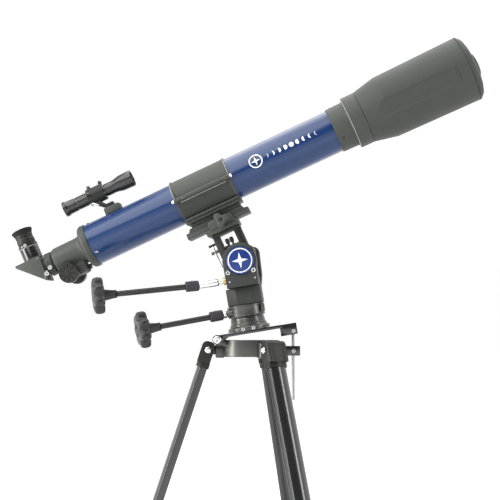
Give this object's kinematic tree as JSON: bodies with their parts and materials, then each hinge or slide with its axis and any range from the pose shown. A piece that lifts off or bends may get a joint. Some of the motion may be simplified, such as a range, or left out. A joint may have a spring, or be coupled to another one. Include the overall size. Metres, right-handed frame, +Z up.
{
  "type": "refracting telescope on tripod",
  "caption": "Long refracting tube in a hinged cradle on a tilting alt-azimuth head with two slow-motion shafts, standing on a folding tripod.",
  "frame": {"origin": "floor level, at the centre of the footprint's bounding box", "axes": "+Z up, +X towards the objective end of the tube, -Y the near side with the badge"},
  "size_m": [0.8888, 0.543, 1.2161],
  "materials": {
    "grey_plastic": "satin green-grey",
    "blue_enamel": "gloss blue enamel",
    "black_plastic": "satin black",
    "black_enamel": "gloss black enamel",
    "dark_metal": "dark semi-gloss paint",
    "chrome": "polished",
    "steel": "brushed",
    "brass": "machined",
    "aluminium": "brushed",
    "rubber": "matt black",
    "glass": "clear, coated",
    "badge_blue": "gloss blue"
  },
  "bodies": {
    "tripod": {"tripod_head": "dark_metal", "wedge_hinge_bolt": "chrome"},
    "leg_1": {"leg_yoke_1": "black_plastic", "upper_leg_1": "black_enamel", "leg_bolt_1": "chrome"},
    "lower_leg_1": {"lower_leg_1": "aluminium", "leg_foot_1": "rubber"},
    "leg_lock_1": {"leg_lock_knob_1": "black_plastic"},
    "strap_1": {"spreader_strap_1": "steel"},
    "leg_2": {"leg_yoke_2": "black_plastic", "upper_leg_2": "black_enamel", "leg_bolt_2": "chrome"},
    "lower_leg_2": {"lower_leg_2": "aluminium", "leg_foot_2": "rubber"},
    "leg_lock_2": {"leg_lock_knob_2": "black_plastic"},
    "strap_2": {"spreader_strap_2": "steel"},
    "leg_3": {"leg_yoke_3": "black_plastic", "upper_leg_3": "black_enamel", "leg_bolt_3": "chrome"},
    "lower_leg_3": {"lower_leg_3": "aluminium", "leg_foot_3": "rubber"},
    "leg_lock_3": {"leg_lock_knob_3": "black_plastic"},
    "strap_3": {"spreader_strap_3": "steel"},
    "tray": {"accessory_tray": "black_plastic"},
    "wedge": {"wedge_plate": "black_enamel", "azimuth_base": "dark_metal"},
    "tilt_rod": {"tilt_rod": "steel"},
    "trunnion": {"tilt_trunnion": "brass"},
    "head": {"azimuth_ring": "dark_metal", "head_block": "grey_plastic", "altitude_housing": "grey_plastic", "altitude_badge": "badge_blue"},
    "azimuth_worm": {"azimuth_worm": "chrome"},
    "azimuth_control": {"azimuth_shaft": "black_plastic", "azimuth_knob": "black_plastic"},
    "altitude_worm": {"altitude_worm": "chrome"},
    "altitude_control": {"altitude_shaft": "black_plastic", "altitude_knob": "black_plastic"},
    "altitude": {"altitude_wheel": "brass", "altitude_yoke": "grey_plastic", "saddle": "grey_plastic"},
    "saddle_knob": {"saddle_knob": "grey_plastic"},
    "tube": {"dovetail_rail": "grey_plastic", "cradle_lower": "grey_plastic", "cradle_hinge_pin": "chrome", "main_tube": "blue_enamel", "lens_cell": "grey_plastic", "objective_lens": "glass", "dew_shield": "grey_plastic", "focuser_housing": "grey_plastic", "finder_scope": "black_plastic", "finder_bracket": "black_plastic"},
    "cradle_top": {"cradle_upper": "grey_plastic"},
    "cradle_clamp": {"cradle_clamp_screw": "black_plastic"},
    "cap": {"dust_cap": "grey_plastic"},
    "drawtube": {"drawtube": "chrome"},
    "focus_knobs": {"focus_knobs": "black_plastic"},
    "focus_lock": {"focus_lock_screw": "black_plastic"},
    "diagonal": {"diagonal_housing": "grey_plastic"},
    "eyepiece": {"eyepiece": "black_plastic"}
  },
  "joints": [
    {"name": "leg_fold_1", "type": "hinge", "parent": "tripod", "child": "leg_1", "pos_m": [-0.06939, -0.01124, 0.6415], "axis": [0.0523, -0.9986, 0], "range_deg": [0, 18.3]},
    {"name": "leg_extend_1", "type": "slide", "parent": "leg_1", "child": "lower_leg_1", "axis": [-0.3136, -0.0164, -0.9494], "range_m": [0, 0.4]},
    {"name": "leg_lock_turn_1", "type": "hinge", "parent": "leg_1", "child": "leg_lock_1", "pos_m": [-0.26199, -0.02133, 0.09018], "axis": [-0.9481, -0.0497, 0.314], "range_deg": [-180, 180]},
    {"name": "strap_fold_1", "type": "hinge", "parent": "leg_1", "child": "strap_1", "pos_m": [-0.15912, -0.01594, 0.32364], "axis": [0.0523, -0.9986, 0], "range_deg": [-108.4, 0.1]},
    {"name": "leg_fold_2", "type": "hinge", "parent": "tripod", "child": "leg_2", "pos_m": [0.05099, -0.07257, 0.6415], "axis": [0.8387, 0.5446, 0], "range_deg": [0, 18.3]},
    {"name": "leg_extend_2", "type": "slide", "parent": "leg_2", "child": "lower_leg_2", "axis": [0.171, -0.2633, -0.9494], "range_m": [0, 0.4]},
    {"name": "leg_lock_turn_2", "type": "hinge", "parent": "leg_2", "child": "leg_lock_2", "pos_m": [0.15603, -0.23433, 0.09018], "axis": [0.5171, -0.7963, 0.314], "range_deg": [-180, 180]},
    {"name": "strap_fold_2", "type": "hinge", "parent": "leg_2", "child": "strap_2", "pos_m": [0.09992, -0.14793, 0.32364], "axis": [0.8387, 0.5446, 0], "range_deg": [-108.4, 0.1]},
    {"name": "leg_fold_3", "type": "hinge", "parent": "tripod", "child": "leg_3", "pos_m": [0.04392, 0.06234, 0.6415], "axis": [-0.891, 0.454, 0], "range_deg": [0, 18.3]},
    {"name": "leg_extend_3", "type": "slide", "parent": "leg_3", "child": "lower_leg_3", "axis": [0.1426, 0.2798, -0.9494], "range_m": [0, 0.4]},
    {"name": "leg_lock_turn_3", "type": "hinge", "parent": "leg_3", "child": "leg_lock_3", "pos_m": [0.13147, 0.23419, 0.09018], "axis": [0.431, 0.8459, 0.314], "range_deg": [-180, 180]},
    {"name": "strap_fold_3", "type": "hinge", "parent": "leg_3", "child": "strap_3", "pos_m": [0.08471, 0.1424, 0.32364], "axis": [-0.891, 0.454, 0], "range_deg": [-108.4, 0.1]},
    {"name": "tray_lift", "type": "slide", "parent": "tripod", "child": "tray", "axis": [0, 0, 1], "range_m": [0, 0.12]},
    {"name": "wedge_tilt", "type": "hinge", "parent": "tripod", "child": "wedge", "pos_m": [-0.0509, -0.00716, 0.66], "axis": [0, -1, 0], "range_deg": [-8, 30]},
    {"name": "rod_swing", "type": "hinge", "parent": "wedge", "child": "tilt_rod", "pos_m": [0.0887, -0.00716, 0.67703], "axis": [0, -1, 0], "range_deg": [-16, 6]},
    {"name": "trunnion_turn", "type": "hinge", "parent": "tripod", "child": "trunnion", "pos_m": [0.0887, -0.00716, 0.64], "axis": [0, -1, 0], "range_deg": [-6, 17]},
    {"name": "azimuth_turn", "type": "hinge", "parent": "wedge", "child": "head", "pos_m": [0.00846, -0.00716, 0.67185], "axis": [-0.1633, 0, 0.9866], "continuous": true},
    {"name": "azimuth_worm_turn", "type": "hinge", "parent": "head", "child": "azimuth_worm", "pos_m": [-0.00043, -0.02554, 0.71295], "axis": [0.9804, -0.1115, 0.1623], "continuous": true},
    {"name": "azimuth_control_turn", "type": "hinge", "parent": "head", "child": "azimuth_control", "pos_m": [-0.04014, -0.02103, 0.70638], "axis": [0.9493, 0.2558, 0.1828], "continuous": true},
    {"name": "altitude_worm_turn", "type": "hinge", "parent": "head", "child": "altitude_worm", "pos_m": [-0.0116, -0.03796, 0.77192], "axis": [0.9804, -0.1115, 0.1623], "continuous": true},
    {"name": "altitude_control_turn", "type": "hinge", "parent": "head", "child": "altitude_control", "pos_m": [-0.08415, -0.02972, 0.75991], "axis": [0.9753, 0.1921, 0.1089], "continuous": true},
    {"name": "altitude_turn", "type": "hinge", "parent": "head", "child": "altitude", "pos_m": [-0.0046, -0.00816, 0.80552], "axis": [-0.11, -0.9938, -0.0182], "range_deg": [-25, 50]},
    {"name": "saddle_knob_turn", "type": "hinge", "parent": "altitude", "child": "saddle_knob", "pos_m": [-0.04071, -0.00556, 0.88166], "axis": [-0.11, -0.9938, -0.0182], "range_deg": [-180, 180]},
    {"name": "rail_slide", "type": "slide", "parent": "altitude", "child": "tube", "axis": [0.9044, -0.1076, 0.4129], "range_m": [-0.02, 0.02]},
    {"name": "cradle_open", "type": "hinge", "parent": "tube", "child": "cradle_top", "pos_m": [-0.07561, -0.04953, 0.93864], "axis": [0.9044, -0.1076, 0.4129], "range_deg": [0, 95]},
    {"name": "cradle_clamp_turn", "type": "hinge", "parent": "cradle_top", "child": "cradle_clamp", "pos_m": [-0.07234, 0.04623, 0.93707], "axis": [-0.4123, 0.0289, 0.9106], "range_deg": [-180, 180]},
    {"name": "cap_pull", "type": "slide", "parent": "tube", "child": "cap", "axis": [0.9044, -0.1076, 0.4129], "range_m": [0, 0.1]},
    {"name": "focus_slide", "type": "slide", "parent": "tube", "child": "drawtube", "axis": [-0.9044, 0.1076, -0.4129], "range_m": [0, 0.07]},
    {"name": "focus_knob_turn", "type": "hinge", "parent": "tube", "child": "focus_knobs", "pos_m": [-0.32653, 0.02784, 0.78523], "axis": [0.11, 0.9938, 0.0182], "range_deg": [-1, 575]},
    {"name": "focus_lock_turn", "type": "hinge", "parent": "tube", "child": "focus_lock", "pos_m": [-0.05586, -0.00435, 0.90716], "axis": [0.9044, -0.1076, 0.4129], "range_deg": [-180, 180]},
    {"name": "diagonal_turn", "type": "hinge", "parent": "drawtube", "child": "diagonal", "pos_m": [-0.0705, -0.00332, 0.93948], "axis": [0.9044, -0.1076, 0.4129], "range_deg": [-90, 90]},
    {"name": "eyepiece_pull", "type": "slide", "parent": "diagonal", "child": "eyepiece", "axis": [-0.4123, 0.0289, 0.9106], "range_m": [0, 0.06]}
  ],
  "couplings": [
    {"joint": "strap_fold_1", "follows": "leg_fold_1", "ratio": -5.918},
    {"joint": "leg_fold_2", "follows": "leg_fold_1", "ratio": 1},
    {"joint": "strap_fold_2", "follows": "leg_fold_1", "ratio": -5.918},
    {"joint": "leg_fold_3", "follows": "leg_fold_1", "ratio": 1},
    {"joint": "strap_fold_3", "follows": "leg_fold_1", "ratio": -5.918},
    {"joint": "rod_swing", "follows": "wedge_tilt", "ratio": -0.51},
    {"joint": "trunnion_turn", "follows": "wedge_tilt", "ratio": 0.49},
    {"joint": "azimuth_worm_turn", "follows": "azimuth_turn", "ratio": 48},
    {"joint": "azimuth_control_turn", "follows": "azimuth_turn", "ratio": 48},
    {"joint": "altitude_worm_turn", "follows": "altitude_turn", "ratio": 48},
    {"joint": "altitude_control_turn", "follows": "altitude_turn", "ratio": 48},
    {"joint": "focus_knob_turn", "follows": "focus_slide", "rad_per_m": 142.86}
  ]
}
